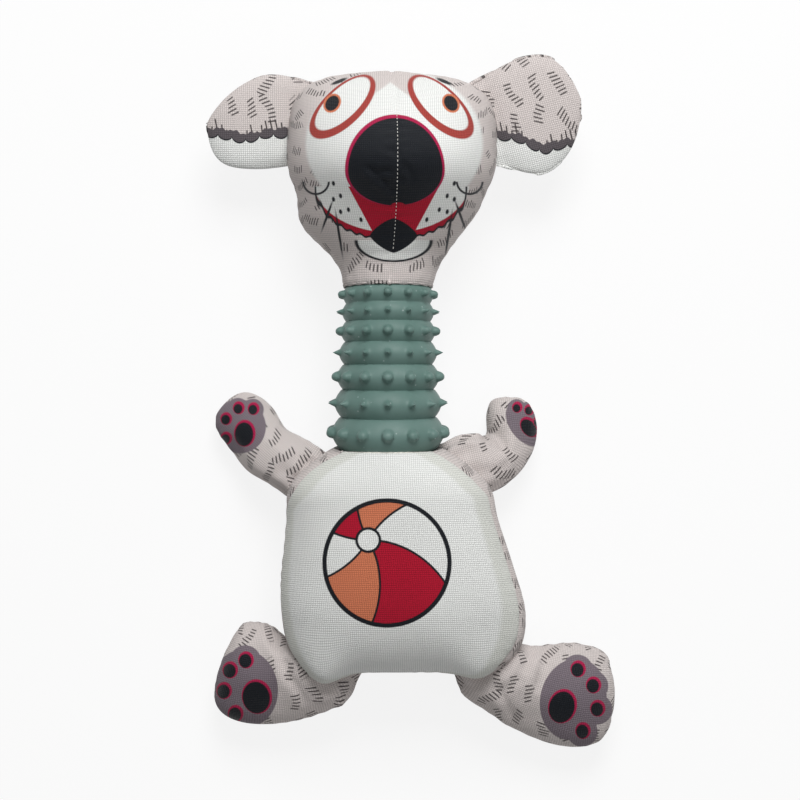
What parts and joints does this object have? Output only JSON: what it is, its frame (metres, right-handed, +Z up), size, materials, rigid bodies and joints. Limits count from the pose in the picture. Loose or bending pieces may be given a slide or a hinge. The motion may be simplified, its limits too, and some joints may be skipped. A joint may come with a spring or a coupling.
{
  "type": "squeaky dog toy",
  "caption": "Stuffed canvas dog toy that lies on its back, with a squeaker under the belly, a ribbed and nubbed rubber neck, floppy ears and swinging limbs.",
  "frame": {"origin": "on the floor under the middle of the torso, which lies on its back", "axes": "+Y from the torso to the head, +Z up out of the belly, +X to the right when the toy is seen from above with its head at the top"},
  "size_m": [0.1929, 0.3319, 0.0851],
  "materials": {
    "white_canvas": "matte",
    "ticked_canvas": "matte",
    "sage_rubber": "satin",
    "fibre_filling": "matte",
    "drawn_thread": "matte",
    "squeaker_vinyl": "gloss",
    "squeaker_plug": "satin"
  },
  "bodies": {
    "torso": {"torso_back_panel": "ticked_canvas", "torso_back_stuffing": "fibre_filling", "squeaker_bellows": "squeaker_vinyl", "squeaker_reed_holder": "squeaker_plug", "squeaker_reed": "squeaker_plug", "torso_drawn_thread": "drawn_thread"},
    "belly": {"torso_belly_panel": "white_canvas", "torso_belly_stuffing": "fibre_filling"},
    "neck": {"neck_tube": "sage_rubber", "neck_stuffing": "fibre_filling"},
    "head": {"head_left_face_panel": "white_canvas", "head_right_face_panel": "white_canvas", "head_back_panel": "ticked_canvas", "head_stuffing": "fibre_filling", "head_drawn_thread": "drawn_thread"},
    "left_ear": {"left_ear_front_panel": "ticked_canvas", "left_ear_back_panel": "ticked_canvas", "left_ear_wadding": "fibre_filling"},
    "right_ear": {"right_ear_front_panel": "ticked_canvas", "right_ear_back_panel": "ticked_canvas", "right_ear_wadding": "fibre_filling"},
    "left_arm": {"left_arm_front_panel": "ticked_canvas", "left_arm_back_panel": "ticked_canvas", "left_arm_stuffing": "fibre_filling"},
    "right_arm": {"right_arm_front_panel": "ticked_canvas", "right_arm_back_panel": "ticked_canvas", "right_arm_stuffing": "fibre_filling"},
    "left_leg": {"left_leg_front_panel": "ticked_canvas", "left_leg_back_panel": "ticked_canvas", "left_leg_stuffing": "fibre_filling"},
    "right_leg": {"right_leg_front_panel": "ticked_canvas", "right_leg_back_panel": "ticked_canvas", "right_leg_stuffing": "fibre_filling"}
  },
  "joints": [
    {"name": "belly_press", "type": "slide", "parent": "torso", "child": "belly", "axis": [0, 0, -1], "range_m": [0, 0.008], "stiffness_N_per_m": 800, "deforming": ["torso_belly_panel", "torso_back_stuffing", "squeaker_bellows"]},
    {"name": "neck_lean", "type": "hinge", "parent": "torso", "child": "neck", "pos_m": [-0.0043, 0.054, 0.033], "axis": [0, 0, 1], "range_deg": [-25, 25], "stiffness_Nm_per_rad": 0.6, "deforming": ["neck_tube"]},
    {"name": "head_nod", "type": "hinge", "parent": "neck", "child": "head", "pos_m": [-0.0043, 0.131, 0.033], "axis": [1, 0, 0], "range_deg": [-20, 30], "stiffness_Nm_per_rad": 0.6, "deforming": ["neck_tube"]},
    {"name": "left_ear_flop", "type": "hinge", "parent": "head", "child": "left_ear", "pos_m": [-0.0482, 0.21, 0.033], "axis": [0.342, 0.9397, 0], "range_deg": [-35, 60], "stiffness_Nm_per_rad": 0.006},
    {"name": "right_ear_flop", "type": "hinge", "parent": "head", "child": "right_ear", "pos_m": [0.0468, 0.21, 0.033], "axis": [0.3256, -0.9455, 0], "range_deg": [-35, 60], "stiffness_Nm_per_rad": 0.006},
    {"name": "left_arm_swing", "type": "hinge", "parent": "torso", "child": "left_arm", "pos_m": [-0.0459, 0.043, 0.026], "axis": [0.6691, 0.7431, 0], "range_deg": [-25, 35], "stiffness_Nm_per_rad": 0.05},
    {"name": "right_arm_swing", "type": "hinge", "parent": "torso", "child": "right_arm", "pos_m": [0.0357, 0.045, 0.026], "axis": [0.682, -0.7314, 0], "range_deg": [-25, 35], "stiffness_Nm_per_rad": 0.05},
    {"name": "left_leg_swing", "type": "hinge", "parent": "torso", "child": "left_leg", "pos_m": [-0.034, -0.051, 0.026], "axis": [-0.829, 0.5592, 0], "range_deg": [-25, 35], "stiffness_Nm_per_rad": 0.08},
    {"name": "right_leg_swing", "type": "hinge", "parent": "torso", "child": "right_leg", "pos_m": [0.0426, -0.051, 0.026], "axis": [-0.7771, -0.6293, 0], "range_deg": [-25, 35], "stiffness_Nm_per_rad": 0.08}
  ]
}
